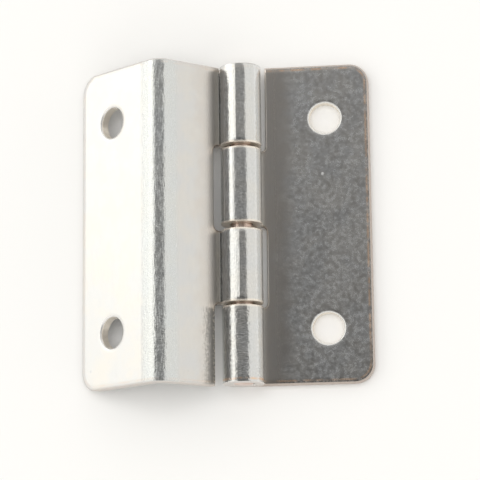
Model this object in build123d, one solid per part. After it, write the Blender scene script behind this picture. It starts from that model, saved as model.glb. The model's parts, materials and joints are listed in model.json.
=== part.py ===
from build123d import *
import os
from math import asin, atan2, cos, degrees, hypot, radians, sin, sqrt

# Cranked cabinet hinge: two curled steel leaves that turn on one pin.
# Millimetres, +Z up, the pin along Y. The hinge lies as it rests on a table: the flat leaf on its
# back face towards +X, the cranked leaf standing on its flange's outer edge towards -X.
# The origin is the middle of the flat leaf's two screw holes, on its back face.
# Each leaf is worked out with the pin's axis through zero, then moved to that origin.

os.makedirs("parts", exist_ok=True)

# Sheet and pin
SHEET = 1.5                     # thickness of both leaves
PIN_DIAMETER = 3.2
PIN_CLEARANCE = 0.08            # between pin and bore, all round
PIN_END_ROUND = 0.35            # rounded rim of the pin's ends
CURL_GAP = 0.1                  # between a curl's free end and its own leaf
FRONT_EDGE = 0.3                # edge rolled over by the punch, on the front faces
BACK_EDGE = 0.12                # broken edge, on the back faces and round the barrel

# Along the pin; the cranked leaf has the first and third knuckles from the +Y end
LEAF_LENGTH = 50.0              # of both leaves
FLAT_SHIFT = 0.3                # of the flat leaf towards +Y, as the knuckles' end play lets it
CRANKED_KNUCKLES = (12.6, 11.4)
KNUCKLE_GAPS = (0.6, 0.9, 0.5)  # the leaves' end play lies mostly in the middle

# Flat leaf
FLAT_REACH = 19.8               # pin axis to the outer edge
FLAT_NOTCH_CLEARANCE = 0.8      # from the other leaf's knuckles to the notched edge

# Cranked leaf: a web like the flat leaf's sheet, then a flange folded away from its front
WEB_LENGTH = 14.3               # pin axis to the ridge's corner
FLANGE_LENGTH = 17.3            # from the ridge's corner to the outer edge
RIDGE_ANGLE = 100.0             # between web and flange
RIDGE_RADIUS = 2.5              # outside the fold
CRANKED_NOTCH_CLEARANCE = 1.1   # from the other leaf's knuckles to the notched edge

# Holes and corners, the same in both leaves
HOLE_DIAMETER = 4.8
HOLE_SPACING = 33.0             # along the pin
HOLE_INSET = 6.9                # hole centre to the outer edge
CORNER_RADIUS = 3.0             # outer corners
NOTCH_RADIUS = 0.9              # inside corners of the notches

BORE_RADIUS = PIN_DIAMETER / 2 + PIN_CLEARANCE
BARREL_RADIUS = BORE_RADIUS + SHEET
CURL_ANGLE = 270 + degrees(asin((BORE_RADIUS - CURL_GAP) / BARREL_RADIUS))

# Headings of a leaf's runs in the section, from +X towards +Z, while its web lies level
WEB_HEADING = 180.0
FLANGE_HEADING = WEB_HEADING + 180 - RIDGE_ANGLE

# The first knuckle is flush with the cranked leaf's +Y edge, the last with the flat leaf's -Y edge
BARREL_TOP = LEAF_LENGTH / 2
BARREL_BOTTOM = FLAT_SHIFT - LEAF_LENGTH / 2
FLAT_KNUCKLE = (BARREL_TOP - BARREL_BOTTOM - sum(CRANKED_KNUCKLES) - sum(KNUCKLE_GAPS)) / 2
BEYOND = LEAF_LENGTH            # how far an open notch's outline runs past the leaf


def knuckle_spans():
    """The (low, high) Y of each knuckle, from the +Y end."""
    lengths = (CRANKED_KNUCKLES[0], FLAT_KNUCKLE, CRANKED_KNUCKLES[1], FLAT_KNUCKLE)
    spans = []
    high = BARREL_TOP
    for length, gap in zip(lengths, KNUCKLE_GAPS + (0,)):
        spans.append((high - length, high))
        high -= length + gap
    return spans


def step(heading, length=1.0):
    """A step in the section plane along a heading."""
    return Vector(cos(radians(heading)), sin(radians(heading))) * length


def behind(corner, inward, outward):
    """The back face's corner behind a front corner, where runs with these headings meet."""
    first, second = step(inward + 90), step(outward + 90)
    return corner + (first + second) * (SHEET / (1 + first.dot(second)))


def run_through(points, radii):
    """A line through the points, bent at each inner one with its radius."""
    return FilletPolyline(*points, radius=radii) if radii else Line(*points)


def leaf_outline(front, headings, bends):
    """Front and back lines of a leaf that leaves the barrel's foot towards -X.

    front: the front face's corners outward from the barrel; bends: (front, back) radius of each.
    """
    back = [front[0] + step(headings[0] + 90, SHEET)]
    back += [behind(p, a, b) for p, a, b in zip(front[1:-1], headings, headings[1:])]
    back.append(front[-1] + step(headings[-1] + 90, SHEET))
    front_line = run_through(front, [bend[0] for bend in bends])
    back_line = run_through(back, [bend[1] for bend in bends])
    return front_line, back_line, Line(front[-1], back[-1])


def leaf_section(front, headings, bends):
    """Closed section of leaf and curl, with the lines of its front and its back face."""
    front_line, back_line, outer_end = leaf_outline(front, headings, bends)
    bore = CenterArc((0, 0), BORE_RADIUS, -90, CURL_ANGLE)
    barrel = CenterArc((0, 0), BARREL_RADIUS, -90, CURL_ANGLE)
    free_end = Line(bore @ 1, barrel @ 1)
    face = make_face([*front_line.edges(), *back_line.edges(), outer_end, bore, barrel, free_end])
    return face, Curve() + [front_line, bore], Curve() + [back_line, barrel]


def rounded(solid, skin, radius):
    """Round the cut edges of one side of the sheet, whose section is the line skin."""
    skin = Plane.XZ * skin
    faces = [f for f in solid.faces() if on_skin(f, skin)]
    edges = [e for f in faces for e in f.edges()]
    border = [e for e in edges if sum(e.is_same(other) for other in edges) == 1]
    return fillet(border, radius)


def on_skin(face, skin):
    """Whether a face of a leaf belongs to the side whose section is the line skin."""
    middle = face.position_at(0.5, 0.5)
    return skin.distance_to(Vector(middle.X, 0, middle.Z)) < SHEET / 1000


def punched(leaf, plane, outline):
    """The leaf with an outline cut through sheet and barrel, drawn on a plane along the sheet."""
    return leaf - extrude(plane * outline, BARREL_RADIUS * 3, both=True)


def notched(leaf, plane, edge, low, high):
    """The leaf with sheet and curl taken away between low and high, back to the notched edge."""
    sheet = fillet(strip(edge, low, high).vertices().group_by(Axis.X)[-1], NOTCH_RADIUS)
    curl = plane.offset(-CURL_GAP / 2) * strip(BARREL_RADIUS + CURL_GAP, low, high)
    return punched(leaf - extrude(curl, -BEYOND), plane, sheet)


def strip(edge, low, high):
    """Outline from beyond the barrel's far side to an edge along the sheet, from low to high."""
    return Pos((edge - BEYOND) / 2, (low + high) / 2) * Rectangle(edge + BEYOND, high - low)


def hole_pair(reach, middle):
    """Outline of a leaf's two screw holes, for an outer edge at reach and a middle along the pin."""
    holes = [Pos(reach - HOLE_INSET, middle + side * HOLE_SPACING / 2) for side in (-1, 1)]
    return Sketch() + [place * Circle(HOLE_DIAMETER / 2) for place in holes]


def sheet_plane(origin, heading):
    """Plane on the front face at a point of the section, X along the sheet and Y along the pin."""
    outward, backward = step(heading), step(heading + 90)
    return Plane(
        origin=(origin.X, 0, origin.Y),
        x_dir=(outward.X, 0, outward.Y),
        z_dir=(backward.X, 0, backward.Y),
    )


def with_round_corners(leaf, plane):
    """The leaf with its outermost corners along the plane's X rounded."""
    across = leaf.edges().filter_by(Axis((0, 0, 0), plane.z_dir))
    return fillet(across.group_by(Axis((0, 0, 0), plane.x_dir))[-1], CORNER_RADIUS)


def curled_leaf(front, headings, bends, middle, clearance, gaps):
    """A leaf with its middle at this Y along the pin, made towards -X with its web level.

    It is notched over each gap to clear the other leaf's knuckles, and its last run has the
    holes and the round corners.
    """
    section, front_skin, back_skin = leaf_section(front, headings, bends)
    web, last_run = sheet_plane(front[0], headings[0]), sheet_plane(front[-2], headings[-1])
    edge = sqrt((BARREL_RADIUS + clearance) ** 2 - BORE_RADIUS**2)
    holes = hole_pair((front[-1] - front[-2]).length, middle)

    leaf = extrude(Plane.XZ.offset(-middle - LEAF_LENGTH / 2) * section, LEAF_LENGTH)
    for gap in gaps:
        leaf = notched(leaf, web, edge, *gap)
    leaf = with_round_corners(punched(leaf, last_run, holes), last_run)
    leaf = rounded(leaf, front_skin, FRONT_EDGE)
    return rounded(leaf, back_skin, BACK_EDGE)


def flat_leaf():
    """The plain leaf, with the second and fourth knuckles."""
    first, second, third, fourth = knuckle_spans()
    gaps = [(second[1], BEYOND), (fourth[1], second[0])]
    front = [Vector(0, -BORE_RADIUS), Vector(-FLAT_REACH, -BORE_RADIUS)]
    leaf = curled_leaf(front, [WEB_HEADING], [], FLAT_SHIFT, FLAT_NOTCH_CLEARANCE, gaps)
    return mirror(leaf, about=Plane.YZ)


def cranked_leaf():
    """The folded leaf, with the first and third knuckles, turned up until it stands."""
    first, second, third, fourth = knuckle_spans()
    gaps = [(third[1], first[0]), (-BEYOND, third[0])]
    foot, ridge = Vector(0, -BORE_RADIUS), Vector(-WEB_LENGTH, -BORE_RADIUS)
    outer = ridge + step(FLANGE_HEADING, FLANGE_LENGTH)
    headings, bends = [WEB_HEADING, FLANGE_HEADING], [(RIDGE_RADIUS, RIDGE_RADIUS - SHEET)]
    front = [foot, ridge, outer]
    leaf = curled_leaf(front, headings, bends, 0, CRANKED_NOTCH_CLEARANCE, gaps)
    return Rot(0, settling_angle(outer), 0) * leaf


def settling_angle(outer_corner):
    """Turn about the pin that brings the flange's outer back edge down to the table."""
    centre = outer_corner + step(FLANGE_HEADING + 90, SHEET - BACK_EDGE)
    centre += step(FLANGE_HEADING + 180, BACK_EDGE)
    above_table = BACK_EDGE - BARREL_RADIUS
    return degrees(asin(above_table / hypot(centre.X, centre.Y)) - atan2(centre.Y, -centre.X))


def hinge_pin():
    """The round pin through all four knuckles, its ends flush with the outer ones."""
    pin = Plane.XZ.offset(-BARREL_TOP) * Circle(PIN_DIAMETER / 2)
    pin = extrude(pin, BARREL_TOP - BARREL_BOTTOM)
    return fillet(pin.edges().filter_by(GeomType.CIRCLE), PIN_END_ROUND)


TO_ORIGIN = Pos(HOLE_INSET - FLAT_REACH, -FLAT_SHIFT, BARREL_RADIUS)
PIECES = {"flat_leaf": flat_leaf, "cranked_leaf": cranked_leaf, "hinge_pin": hinge_pin}

for name, make in PIECES.items():
    export_step(TO_ORIGIN * make(), f"parts/{name}.step")
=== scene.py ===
import bpy
import json
from collections import namedtuple
from math import pi, radians, sin
from mathutils import Matrix, Vector


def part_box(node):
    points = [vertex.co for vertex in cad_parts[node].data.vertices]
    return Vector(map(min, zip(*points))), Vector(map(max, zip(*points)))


# Cranked cabinet hinge, lying on a pale floor in a soft light tent.
# Objects are in metres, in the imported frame: +Y along the pin, +Z up from the floor.
# Materials work in millimetres of the same frame, which moves with each leaf.

MM = 0.001
PHOTO_PIXELS = 480

# Camera, fitted to the photo: turns from looking straight down on the pin's middle, in degrees
VIEW_TURN = -7.28               # about the pin; the camera stands a little to the right
VIEW_TILT = -11.58              # about the image's width; and a little towards the near end
VIEW_ROLL = 0.66
VIEW_DISTANCE = 0.3192
VIEW_ASIDE = Vector((0.00028, 0.0025, 0))  # pin's middle from the image's, right and up
FOCAL_PIXELS = 2077

# Light tent: pale all round, brighter on the left, with a dim opening overhead along the pin.
# Edges are angles from straight up, measured to the side, in degrees.
TENT = (0.89, 0.875, 0.835)
TENT_LEFT = (1.14, 1.12, 1.06)
TENT_LEFT_FAR = (1.75, 1.72, 1.62)
OPENING = (0.075, 0.074, 0.072)
OPENING_FAR = (0.35, 0.345, 0.335)  # at its far end
LEFT_EDGE = 40
OPENING_EDGE = 35
OPENING_LEAN = 2                # of the opening's middle, to the right
OPENING_STRETCH = 1.3           # its length along the pin against its width
SOFTNESS = 3
FAR_FADE = (-0.1, 0.6)          # from the near to the far light, as a direction's share of +Y
FLOOR_LIGHT = 2.1               # brightness of the panel overhead, which metal doesn't reflect
PANEL_SIZE = 1.2                # in metres, as are its height and the floor's size
PANEL_HEIGHT = 1.2
FLOOR_SIZE = 3.0
FLOOR_COLOR = (0.9, 0.895, 0.885)
FLOOR_ROUGHNESS = 0.9
FLOOR_SPECULAR = 0.1

# The leaves, in millimetres, as the finish follows them
HOLE_DIAMETER = 4.8
HOLE_SPACING = 33.0
HOLE_INSET = 6.9                # hole centre to the outer edge
CORNER_RADIUS = 3.0
BARREL_RADIUS = 3.18
RIDGE = (-24.7, 0, 8.38)        # the fold's centre line
RIDGE_RADIUS = 2.5
KNUCKLE_ENDS = (12.1, 11.5, -0.35, -1.25, -12.65, -13.15)  # along the pin, save the outermost
FAR_FROM_ENDS = 9.0             # longer than any fade from a knuckle's end
NOTCH_END = -13.4               # the cranked leaf's near notch begins here along the pin

# Curls that aren't quite round: from and to along the pin, the highest line aside of the pin,
# and its height above the round. The rise to that line and the fall beyond it are as wide for both.
FIRST_CURL = (12.1, 25.6, -0.35, 0.09)
THIRD_CURL = (-12.65, -1.25, 0.0, 0.14)
CURL_RISE = 1.15
CURL_FALL = 2.6
CURL_FADE = 0.8                 # along the pin, at both ends

# Marks on the sheet, in millimetres. The first of each pair is where a mark begins to fade or to
# show, and the second is where it has.
BURNISHED = 7.0                 # from the pin's axis: smooth sheet, then mottled
BURNISHED_WANDER = 5.0          # of that limit
BURNISHED_FADE = 1.6            # to each side of it
LEAST_MOTTLED = 0.05            # share of the mottling that stays in the smooth part
OFF_BARREL = (BARREL_RADIUS + 0.1, BARREL_RADIUS + 0.2)
RUBBED_FROM = (BARREL_RADIUS + 0.1, BARREL_RADIUS + 0.3)
RUBBED_TO = (BARREL_RADIUS + 1.5, BARREL_RADIUS + 4.0)
# Painted shade in the valley between the web and the barrel: from the pin's axis
VALLEY = (BARREL_RADIUS + 0.3, BARREL_RADIUS + 1.8)
NOTCH_STRIP_SHADE = (5.3, 7.1)            # from the pin's axis, beside the near notch: painted shade on the strip where the sheet bends up
RAGGED = 0.5                    # how far the painted shade's limit moves with each noise
CHIPPED = (4.5, 4.9)            # from the pin's axis, along the notch's edge
NOTCH_FADE = 0.3                # along the pin, to each side of the notch's end
FOLD_FADE = (0.1, 0.6)          # beyond a fold's outside
RIM = (0.05, 0.5)               # from a cut edge
BARED_FROM = (0.3, 0.5)         # the same, where the plate has gone in a line beside the rim
BARED_TO = (0.6, 0.85)
LEAST_BARED = 0.2               # of the line between its flecks
WALL = (0.02, 0.05)             # from a hole's wall
# painted highlight on the rolled lip round each hole, from its wall
LIP_HIGHLIGHT = (0.05, 0.42)
WORN_AND_LIT_END = (0.15, 0.45)             # from a knuckle's end: worn plate, painted paler also as the highlight of the end's rounded edge
SPOT = (0.03, 0.1)              # from a spot's middle, as a share of a cell of their pattern
SPOT_SCALE = 0.3                # cells per millimetre
SPOT_CHOICE = (0.7, 0.75)       # only cells past this, on their own scale from 0 to 1, have one
END_FACING = (0.3, 0.8)         # how squarely a surface looks along the pin, to be an end

# How the sheet rolls over: within this distance of a cut edge, a hole or a knuckle's end, and
# how far
EDGE_ROLL = (1.0, 0.1)
HOLE_ROLL = (0.7, 0.07)
KNUCKLE_ROLL = (0.5, 0.08)

NOISE_ROUGHNESS = 0.55          # of every noise below

# Noise: size of its features in millimetres, detail, and stretch along X, Y and Z. A contrast is
# where, on the noise's scale from 0 to 1, its marks begin and where they are full.
PATCHES = (3.0, 2)
PATCHES_CONTRAST = (0.35, 0.65)
CLUMPS = (0.75, 3)
CLUMPS_CONTRAST = (0.34, 0.68)
PATCHES_IN_CLUMPS = 0.35        # weights of the coarser and the finer noise
FINE_IN_CLUMPS = 0.3
FINE = (0.4, 2)
FINE_CONTRAST = (0.35, 0.7)
CHIPS_CONTRAST = (0.3, 0.7)     # of the fine noise, once more
HUE = (4.0, 3)
HUE_CONTRAST = (0.35, 0.65)
FLECKS = (1.4, 2)
FLECKS_CONTRAST = (0.38, 0.6)
LINES = (0.2, 2, (1, 7, 1))
LINES_CONTRAST = (0.35, 0.7)
GRAIN = (0.35, 2, (1, 9, 1))
GRAIN_CONTRAST = (0.5, 0.75)
PEEL = (0.6, 2)
WAVES = (0.5, 2, (1, 3, 1))
RIPPLES = (0.25, 2, (2, 1, 2))

# The pin's wire: noise and contrasts as above, the depth of its lines in millimetres, and its
# shader's values from one end of the noise to the other
WIRE_LINES = (0.12, 3, (1, 30, 1))
WIRE_LINES_CONTRAST = (0.2, 0.8)
WIRE_LINE_DEPTH = 0.003
WIRE_PATCHES = (1.5, 2)
WIRE_HUE_CONTRAST = (0.3, 0.7)
WIRE_DULL_CONTRAST = (0.4, 0.7)
WIRE_METALLIC = (1.0, 0.85)
WIRE_ROUGHNESS = (0.25, 0.45)
PIN_BROWN = (0.74, 0.58, 0.51)
PIN_PINK = (0.82, 0.69, 0.63)

# Colours of the zinc, from patch to patch, and then of each mark with its strength, in the order
# in which they are laid on
COOL_ZINC = (0.755, 0.755, 0.755)
WARM_ZINC = (0.785, 0.765, 0.735)
# pale worn plate, also used as the painted highlight at the knuckles' ends
WORN_AND_LIT_ZINC = (0.93, 0.86, 0.77)
TINTS = (
    ("clumped", 0.22, (0.72, 0.765, 0.82)),
    ("burnished", 0.6, (0.72, 0.665, 0.615)),
    # painted shade in the valley beside the barrel
    ("valley_shade", 1.0, (0.30, 0.28, 0.255)),
    # painted shade on the strip beside the near notch, where the sheet bends up
    ("notch_strip_shade", 1.0, (0.215, 0.215, 0.205)),
    ("chipped", 1.0, WORN_AND_LIT_ZINC),
    ("streaked", 0.5, (0.70, 0.745, 0.75)),
    ("grained", 0.08, (0.60, 0.60, 0.595)),
    ("bared", 1.0, (0.88, 0.64, 0.47)),
    ("ends", 0.8, (0.70, 0.65, 0.61)),
    ("rim", 1.0, (0.55, 0.475, 0.425)),
    ("wall", 1.0, (0.87, 0.81, 0.72)),
    # worn plate at the knuckles' ends, painted paler also as their rounded edges' highlight
    ("worn_and_lit_end", 1.0, WORN_AND_LIT_ZINC),
    # painted highlight on the holes' lips
    ("lip_highlight", 1.0, (0.86, 0.855, 0.84)),
)

# Dull bloom on the plate, which scatters light like pale paint, for each mark
BLOOM = {
    "clumped": 0.08,
    "lined": 0.22,
    "streaked": 0.04,
    "creased": 0.1,
    "spot": 0.35,
    "lip_highlight": 0.45,
    "worn_and_lit_end": 0.2,
    "wall": 0.55,
    "bared": 0.12,
}

# Roughness of the bright plate, and what each mark adds to it
GLOSS = 0.15
HAZE = {"clumped": 0.1, "rubbed": 0.14, "spot": 0.2, "cut": 0.15}

# Height of each texture, in millimetres
RELIEF = {"peel": 0.005, "waves": 0.02, "lined": 0.009, "grain": 0.0015}
RIPPLE_HEIGHT = 0.02
LAST_RIPPLE_HEIGHT = 0.05       # at the near end, past NOTCH_END

# How streaky the sheet is where it is stretched
BARREL_STREAKING = 0.4
RIDGE_STREAKING = 1.0

# What sets the leaves apart: mottling away from the pin, how far the steel shows along the cut edges,
# and how strong the painted shade is beside the barrel and beside the near notch, with the chips along
# that notch
Wear = namedtuple("Wear", "mottling bareness grime")
FLAT_WEAR = Wear(1.0, 0.85, 0.0)
CRANKED_WEAR = Wear(0.12, 0.15, 0.75)
RIM_TINT = 0.15                 # strength of the rim's colour besides the bareness

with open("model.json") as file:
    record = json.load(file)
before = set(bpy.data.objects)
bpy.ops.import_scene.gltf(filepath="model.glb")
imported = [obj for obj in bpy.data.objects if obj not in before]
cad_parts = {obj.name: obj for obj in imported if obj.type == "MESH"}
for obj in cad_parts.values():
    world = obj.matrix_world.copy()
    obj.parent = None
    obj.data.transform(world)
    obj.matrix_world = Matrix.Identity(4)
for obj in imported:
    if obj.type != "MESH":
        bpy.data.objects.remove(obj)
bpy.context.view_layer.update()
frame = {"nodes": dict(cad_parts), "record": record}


class Nodes:
    """Short calls for building a node tree."""

    def __init__(self, tree):
        self.tree = tree

    def add(self, kind, inputs=None, **settings):
        """A node with its settings and its inputs, each a value or another node's output."""
        made = self.tree.nodes.new("ShaderNode" + kind)
        for name, value in settings.items():
            setattr(made, name, value)
        for name, value in (inputs or {}).items():
            self.put(made.inputs[name], value)
        return made

    def put(self, socket, value):
        if isinstance(value, bpy.types.NodeSocket):
            self.tree.links.new(value, socket)
        else:
            socket.default_value = value

    def math(self, operation, *values, clamp=False):
        inputs = dict(enumerate(values))
        return self.add("Math", inputs, operation=operation, use_clamp=clamp).outputs[0]

    def times(self, first, *others):
        """The product of all the values."""
        for other in others:
            first = self.math("MULTIPLY", first, other)
        return first

    def plus(self, total, value, weight):
        """A total with the weighted value added."""
        return self.math("MULTIPLY_ADD", value, weight, total)

    def add_up(self, start, marks, weights):
        """The start value plus each weighted mark."""
        for name, weight in weights.items():
            start = self.plus(start, marks[name], weight)
        return start

    def vector(self, operation, *values):
        made = self.add("VectorMath", dict(enumerate(values)), operation=operation)
        return made.outputs["Value" if operation in ("LENGTH", "DOT_PRODUCT") else "Vector"]

    def between(self, value, low, high, start=0.0, end=1.0):
        """A smooth step from start, where value is low, to end, where it is high."""
        inputs = {"Value": value, "From Min": low, "From Max": high, "To Min": start, "To Max": end}
        return self.add("MapRange", inputs, interpolation_type="SMOOTHSTEP").outputs[0]

    def within(self, value, limits):
        """1 up to the first limit, 0 past the second."""
        return self.between(value, *limits, 1, 0)

    def blend(self, factor, first, second):
        """Colours mixed by a factor from 0 to 1."""
        made = self.add("Mix", data_type="RGBA")
        self.put(made.inputs[0], factor)
        for socket, value in ((6, first), (7, second)):
            self.put(made.inputs[socket], (*value, 1) if isinstance(value, tuple) else value)
        return made.outputs[2]

    def noise(self, place, size, detail, stretch=(1, 1, 1)):
        """Noise with features of about this size, in the units of place; centred on 0.5."""
        scaled = self.vector("MULTIPLY", place, tuple(1 / (size * s) for s in stretch))
        inputs = {"Vector": scaled, "Scale": 1.0, "Detail": detail, "Roughness": NOISE_ROUGHNESS}
        return self.add("TexNoise", inputs).outputs["Fac"]


def pin_middle():
    """The pin's middle, from the frame's own box of it."""
    low, high = (Vector(corner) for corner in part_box("hinge_pin"))
    return (low + high) / 2


def look_through_camera(pin):
    """The photo's viewpoint."""
    turn = (
        Matrix.Rotation(radians(VIEW_ROLL), 3, "Z")
        @ Matrix.Rotation(radians(VIEW_TILT), 3, "X")
        @ Matrix.Rotation(radians(VIEW_TURN), 3, "Y")
    ).transposed()
    place = pin + turn @ (Vector((0, 0, VIEW_DISTANCE)) - VIEW_ASIDE)
    camera = bpy.data.objects.new("camera", bpy.data.cameras.new("camera"))
    camera.matrix_world = Matrix.Translation(place) @ turn.to_4x4()
    camera.data.lens = FOCAL_PIXELS / PHOTO_PIXELS * camera.data.sensor_width
    bpy.context.collection.objects.link(camera)
    bpy.context.scene.camera = camera


def soft_edge(angle):
    """The sines of a tent edge's two sides, which the light fades between."""
    return [sin(radians(angle + way * SOFTNESS)) for way in (-1, 1)]


def light_tent():
    """World with the tent's brightness by direction."""
    world = bpy.data.worlds.new("tent")
    bpy.context.scene.world = world
    world.use_nodes = True
    world.node_tree.nodes.clear()
    nodes = Nodes(world.node_tree)
    direction = nodes.add("TexCoord").outputs["Generated"]
    leaning = nodes.add(
        "Mapping",
        {
            "Vector": direction,
            "Rotation": (0, radians(OPENING_LEAN), 0),
            "Scale": (1, OPENING_STRETCH, 1),
        },
        vector_type="TEXTURE",
    ).outputs[0]
    aside = nodes.vector("LENGTH", nodes.vector("MULTIPLY", leaning, (1, 1, 0)))
    leftward = nodes.vector("DOT_PRODUCT", direction, (-1, 0, 0))
    far = nodes.between(nodes.vector("DOT_PRODUCT", direction, (0, 1, 0)), *FAR_FADE)
    opening = nodes.blend(far, OPENING, OPENING_FAR)
    left = nodes.blend(far, TENT_LEFT, TENT_LEFT_FAR)
    sky = nodes.blend(nodes.between(aside, *soft_edge(OPENING_EDGE)), opening, TENT)
    sky = nodes.blend(nodes.between(leftward, *soft_edge(LEFT_EDGE)), sky, left)
    background = nodes.add("Background", {"Color": sky})
    nodes.add("OutputWorld", {"Surface": background.outputs[0]})


def floor_light():
    """A soft panel overhead for the floor alone."""
    light = bpy.data.lights.new("overhead", "AREA")
    light.size = PANEL_SIZE
    light.energy = FLOOR_LIGHT * light.size**2 * pi
    lamp = bpy.data.objects.new("overhead", light)
    lamp.location = (0, 0, PANEL_HEIGHT)
    lamp.visible_glossy = False
    bpy.context.collection.objects.link(lamp)


def floor():
    """The plain pale surface that the hinge lies on."""
    mesh = bpy.data.meshes.new("floor")
    s = FLOOR_SIZE / 2
    mesh.from_pydata([(-s, -s, 0), (s, -s, 0), (s, s, 0), (-s, s, 0)], [], [(0, 1, 2, 3)])
    obj = bpy.data.objects.new("floor", mesh)
    bpy.context.collection.objects.link(obj)
    material = bpy.data.materials.new("floor")
    material.use_nodes = True
    bsdf = material.node_tree.nodes["Principled BSDF"]
    bsdf.inputs["Base Color"].default_value = (*FLOOR_COLOR, 1)
    bsdf.inputs["Roughness"].default_value = FLOOR_ROUGHNESS
    bsdf.inputs["Specular IOR Level"].default_value = FLOOR_SPECULAR
    mesh.materials.append(material)


class HoleRow:
    """A flat run of a leaf, seen from the row of screw holes near its outer edge."""

    def __init__(self, leaf, *mounts):
        holes = [m for m in frame["record"]["mounts"] if m["name"] in mounts]
        self.middle = sum((Vector(m["pos_m"]) for m in holes), Vector()) / len(holes) / MM
        toward_edge = 1 if self.middle.x > pin.x / MM else -1
        self.outward = Vector((0, 1, 0)).cross(Vector(holes[0]["axis"])) * toward_edge
        low, high = (Vector(corner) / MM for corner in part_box(leaf))
        self.half_length = (high.y - low.y) / 2

    def distances(self, nodes, place):
        """Distance from the nearest cut edge, up to the corner radius, and from a hole's wall."""
        seen = nodes.vector("SUBTRACT", place, tuple(self.middle))
        out = nodes.vector("DOT_PRODUCT", seen, tuple(self.outward))
        along = nodes.math("ABSOLUTE", nodes.vector("DOT_PRODUCT", seen, (0, 1, 0)))
        corner = self.offset(
            nodes, out, along, HOLE_INSET - CORNER_RADIUS, self.half_length - CORNER_RADIUS
        )
        past = nodes.vector("LENGTH", nodes.vector("MAXIMUM", corner, (0, 0, 0)))
        inside = nodes.math("SUBTRACT", CORNER_RADIUS, past)
        from_hole = nodes.vector("LENGTH", self.offset(nodes, out, along, 0.0, HOLE_SPACING / 2))
        return inside, nodes.math("SUBTRACT", from_hole, HOLE_DIAMETER / 2)

    def offset(self, nodes, out, along, from_out, from_along):
        """The step on the sheet to a point from another."""
        steps = {
            "X": nodes.math("SUBTRACT", out, from_out),
            "Y": nodes.math("SUBTRACT", along, from_along),
        }
        return nodes.add("CombineXYZ", steps).outputs[0]


class Surface:
    """Where a point of a leaf lies, in millimetres, and the textures that several marks share."""

    def __init__(self, nodes, row):
        self.nodes = nodes
        self.place, self.normal = object_place(nodes)
        from_axis = nodes.vector("SUBTRACT", self.place, tuple(pin / MM))
        from_axis = nodes.vector("MULTIPLY", from_axis, (1, 0, 1))
        self.aside = nodes.vector("DOT_PRODUCT", from_axis, (1, 0, 0))
        self.from_pin = nodes.vector("LENGTH", from_axis)
        self.along = nodes.vector("DOT_PRODUCT", self.place, (0, 1, 0))
        self.off_barrel = nodes.between(self.from_pin, *OFF_BARREL)
        self.edge, self.hole = row.distances(nodes, self.place)
        self.knuckle_end = self.nearest_knuckle_end()
        self.fine = nodes.between(nodes.noise(self.place, *FINE), *FINE_CONTRAST)
        self.lines = nodes.between(nodes.noise(self.place, *LINES), *LINES_CONTRAST)
        self.grain = nodes.noise(self.place, *GRAIN)

    def nearest_knuckle_end(self):
        """Distance along the pin from the nearest knuckle end; out of reach off the barrel."""
        nearest = FAR_FROM_ENDS
        for end in KNUCKLE_ENDS:
            off = self.nodes.math("ABSOLUTE", self.nodes.math("SUBTRACT", self.along, end))
            nearest = self.nodes.math("MINIMUM", nearest, off)
        return self.nodes.math("ADD", nearest, self.off_barrel)

    def near_line(self, line, radius):
        """1 on a fold's outside, whose centre is a line along the pin, and 0 away from it."""
        seen = self.nodes.vector("SUBTRACT", self.place, tuple(line))
        distance = self.nodes.vector("LENGTH", self.nodes.vector("MULTIPLY", seen, (1, 0, 1)))
        return self.nodes.within(distance, [radius + fade for fade in FOLD_FADE])


def sheet_marks(surface, folds, mottling):
    """Mottling away from the pin, and streaks where the sheet is stretched round a fold."""
    nodes = surface.nodes
    patches = nodes.noise(surface.place, *PATCHES)
    clumps = nodes.between(nodes.noise(surface.place, *CLUMPS), *CLUMPS_CONTRAST)
    clumps = nodes.plus(clumps, nodes.between(patches, *PATCHES_CONTRAST), PATCHES_IN_CLUMPS)
    clumps = nodes.plus(clumps, surface.fine, FINE_IN_CLUMPS)
    limit = nodes.plus(BURNISHED - BURNISHED_WANDER / 2, patches, BURNISHED_WANDER)
    past_limit = nodes.math("SUBTRACT", surface.from_pin, limit)
    mottled = nodes.between(past_limit, -BURNISHED_FADE, BURNISHED_FADE, LEAST_MOTTLED, 1)
    stretched, streaked = 0.0, 0.0
    for line, radius, streaking in folds:
        fold = surface.near_line(line, radius)
        stretched = nodes.math("MAXIMUM", stretched, fold)
        streaked = nodes.math("MAXIMUM", streaked, nodes.times(fold, streaking))
    return {
        "clumped": nodes.times(clumps, mottled, mottling),
        "burnished": nodes.times(nodes.math("SUBTRACT", 1.0, mottled), surface.off_barrel),
        "stretched": stretched,
        "streaked": streaked,
        "lined": nodes.times(surface.lines, streaked),
        "creased": nodes.times(surface.fine, stretched),
        "grained": nodes.between(surface.grain, *GRAIN_CONTRAST),
        "spot": few_spots(surface),
    }


def few_spots(surface):
    """Small round specks, in about one cell in four of a coarse pattern."""
    nodes = surface.nodes
    cells = nodes.add("TexVoronoi", {"Vector": surface.place, "Scale": SPOT_SCALE}, feature="F1")
    chosen = nodes.vector("DOT_PRODUCT", cells.outputs["Color"], (1, 0, 0))
    spot = nodes.within(cells.outputs["Distance"], SPOT)
    return nodes.times(spot, nodes.between(chosen, *SPOT_CHOICE))


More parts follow.
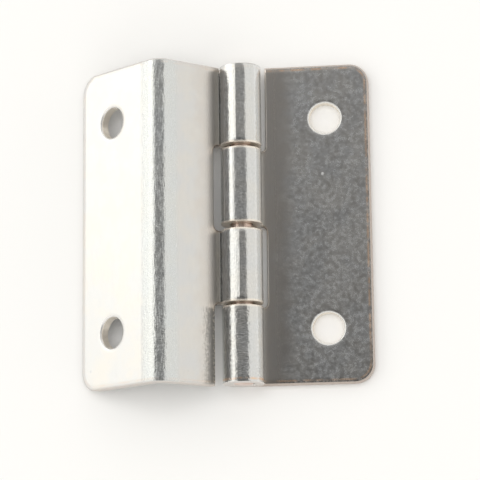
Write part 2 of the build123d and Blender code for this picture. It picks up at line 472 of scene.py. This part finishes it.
def pin_side_marks(surface, grime):
    """Rubbing beside the barrel, painted shade in the valley beside it and on a strip beside the near
    notch, and chips along that notch's edge.
    """
    nodes, from_pin = surface.nodes, surface.from_pin
    notch = nodes.between(surface.along, NOTCH_END - NOTCH_FADE, NOTCH_END + NOTCH_FADE, grime, 0)
    ragged = nodes.plus(from_pin, nodes.math("ADD", surface.fine, surface.lines), RAGGED)
    chips = nodes.between(surface.fine, *CHIPS_CONTRAST)
    return {
        "rubbed": nodes.times(nodes.between(from_pin, *RUBBED_FROM), nodes.within(from_pin, RUBBED_TO)),
        # painted shade in the valley beside the barrel
        "valley_shade": nodes.times(nodes.within(from_pin, VALLEY), surface.off_barrel, grime),
        # painted shade on the strip beside the near notch
        "notch_strip_shade": nodes.times(nodes.within(ragged, NOTCH_STRIP_SHADE), notch),
        "chipped": nodes.times(nodes.within(from_pin, CHIPPED), notch, chips, surface.off_barrel),
    }


def cut_marks(surface, bareness):
    """Rims, bared lines, holes and knuckle ends, with painted highlights on the holes' lips and the
    knuckles' worn ends.
    """
    nodes, edge, hole = surface.nodes, surface.edge, surface.hole
    rim = nodes.times(nodes.within(edge, RIM), surface.off_barrel)
    across = nodes.math("ABSOLUTE", nodes.vector("DOT_PRODUCT", surface.normal, (0, 1, 0)))
    ends = nodes.between(across, *END_FACING)
    wall = nodes.within(hole, WALL)
    flecks = nodes.noise(surface.place, *FLECKS)
    flecks = nodes.between(flecks, *FLECKS_CONTRAST, LEAST_BARED, 1)
    bared = nodes.times(nodes.between(edge, *BARED_FROM), nodes.within(edge, BARED_TO), flecks)
    return {
        "rim": nodes.times(rim, bareness + RIM_TINT),
        "ends": ends,
        "wall": wall,
        "cut": nodes.math("MAXIMUM", nodes.math("MAXIMUM", rim, ends), wall),
        "bared": nodes.times(bared, bareness),
        # painted highlight on the holes' lips
        "lip_highlight": nodes.math("SUBTRACT", nodes.within(hole, LIP_HIGHLIGHT), wall),
        # worn knuckle ends, painted paler also as their highlight
        "worn_and_lit_end": nodes.within(surface.knuckle_end, WORN_AND_LIT_END),
    }


def sheet_relief(surface, marks, curls):
    """Height of the surface in millimetres: textures, rolled edges and uneven curls."""
    nodes, place, along = surface.nodes, surface.place, surface.along
    textures = {
        "peel": nodes.noise(place, *PEEL),
        "waves": nodes.times(nodes.noise(place, *WAVES), marks["streaked"]),
        "lined": marks["lined"],
        "grain": surface.grain,
    }
    relief = nodes.add_up(0.0, textures, RELIEF)
    near_end = (NOTCH_END - NOTCH_FADE, NOTCH_END + NOTCH_FADE)
    rippled = nodes.between(along, *near_end, LAST_RIPPLE_HEIGHT, RIPPLE_HEIGHT)
    ripples = nodes.noise(place, *RIPPLES)
    relief = nodes.plus(relief, ripples, nodes.times(marks["stretched"], rippled))
    rolls = ((surface.edge, EDGE_ROLL), (surface.hole, HOLE_ROLL), (surface.knuckle_end, KNUCKLE_ROLL))
    for distance, (width, depth) in rolls:
        fall = nodes.math("DIVIDE", nodes.math("SUBTRACT", width, distance), width, clamp=True)
        relief = nodes.plus(relief, nodes.times(fall, fall), -depth)
    for low, high, highest, height in curls:
        rise = nodes.math("SUBTRACT", surface.aside, highest - CURL_RISE)
        rise = nodes.math("DIVIDE", rise, CURL_RISE, clamp=True)
        fall = nodes.math("SUBTRACT", highest + CURL_FALL, surface.aside)
        fall = nodes.math("DIVIDE", fall, CURL_FALL, clamp=True)
        here = nodes.between(along, low, low + CURL_FADE, 0, height)
        here = nodes.times(here, nodes.between(along, high - CURL_FADE, high, 1, 0))
        relief = nodes.plus(relief, nodes.math("MINIMUM", nodes.times(rise, rise), fall), here)
    return relief


def zinc(name, row, folds, curls, wear):
    """Bright zinc plate on rolled steel, cut and folded.

    folds: (line, radius, streaking) of each place where the sheet is stretched round a line
    along the pin; curls: those that aren't quite round.
    """
    material, nodes = new_material(name)
    surface = Surface(nodes, row)
    marks = sheet_marks(surface, folds, wear.mottling)
    marks.update(pin_side_marks(surface, wear.grime))
    marks.update(cut_marks(surface, wear.bareness))

    hue = nodes.noise(surface.place, *HUE)
    color = nodes.blend(nodes.between(hue, *HUE_CONTRAST), COOL_ZINC, WARM_ZINC)
    for mark, strength, tint in TINTS:
        color = nodes.blend(nodes.times(marks[mark], strength), color, tint)
    bloom = nodes.add_up(0.0, marks, BLOOM)
    metallic = nodes.math("SUBTRACT", 1.0, bloom, clamp=True)
    roughness = nodes.add_up(GLOSS, marks, HAZE)
    relief = sheet_relief(surface, marks, curls)
    return finish_metal(material, color, metallic, roughness, relief, MM)


def pin_steel():
    """Drawn wire, thinly plated: lines from drawing and dull patches."""
    material, nodes = new_material("pin_steel")
    place, _ = object_place(nodes)
    lines = nodes.noise(place, *WIRE_LINES)
    patches = nodes.noise(place, *WIRE_PATCHES)
    color = nodes.blend(nodes.between(patches, *WIRE_HUE_CONTRAST), PIN_BROWN, PIN_PINK)
    metallic = nodes.between(patches, *WIRE_DULL_CONTRAST, *WIRE_METALLIC)
    roughness = nodes.between(lines, *WIRE_LINES_CONTRAST, *WIRE_ROUGHNESS)
    return finish_metal(material, color, metallic, roughness, lines, WIRE_LINE_DEPTH * MM)


def new_material(name):
    material = bpy.data.materials.new(name)
    material.use_nodes = True
    return material, Nodes(material.node_tree)


def object_place(nodes):
    """Place in millimetres and normal, both in the frame that moves with the object."""
    coords = nodes.add("TexCoord")
    place = nodes.vector("MULTIPLY", coords.outputs["Object"], (1 / MM, 1 / MM, 1 / MM))
    return place, coords.outputs["Normal"]


def finish_metal(material, color, metallic, roughness, relief, height):
    """The material with its shader's inputs made; height is what 1 of relief stands for."""
    nodes = Nodes(material.node_tree)
    bump = nodes.add("Bump", {"Height": relief, "Distance": height, "Strength": 1.0})
    bsdf = material.node_tree.nodes["Principled BSDF"]
    nodes.put(bsdf.inputs["Base Color"], color)
    nodes.put(bsdf.inputs["Metallic"], metallic)
    nodes.put(bsdf.inputs["Roughness"], roughness)
    nodes.put(bsdf.inputs["Normal"], bump.outputs[0])
    return material


def dress(node, material):
    obj = frame["nodes"][node]
    obj.data.materials.clear()
    obj.data.materials.append(material)


bpy.context.scene.view_settings.view_transform = "Standard"
pin = pin_middle()
look_through_camera(pin)
light_tent()
floor_light()
floor()

barrel = (tuple(pin / MM), BARREL_RADIUS, BARREL_STREAKING)
ridge = (RIDGE, RIDGE_RADIUS, RIDGE_STREAKING)
flat_row = HoleRow("flat_leaf", "flat_leaf_holes")
flange_row = HoleRow("cranked_leaf", "flange_hole_near", "flange_hole_far")
curls = [FIRST_CURL, THIRD_CURL]
dress("flat_leaf", zinc("flat_leaf_zinc", flat_row, [barrel], [], FLAT_WEAR))
dress("cranked_leaf", zinc("cranked_leaf_zinc", flange_row, [barrel, ridge], curls, CRANKED_WEAR))
dress("hinge_pin", pin_steel())
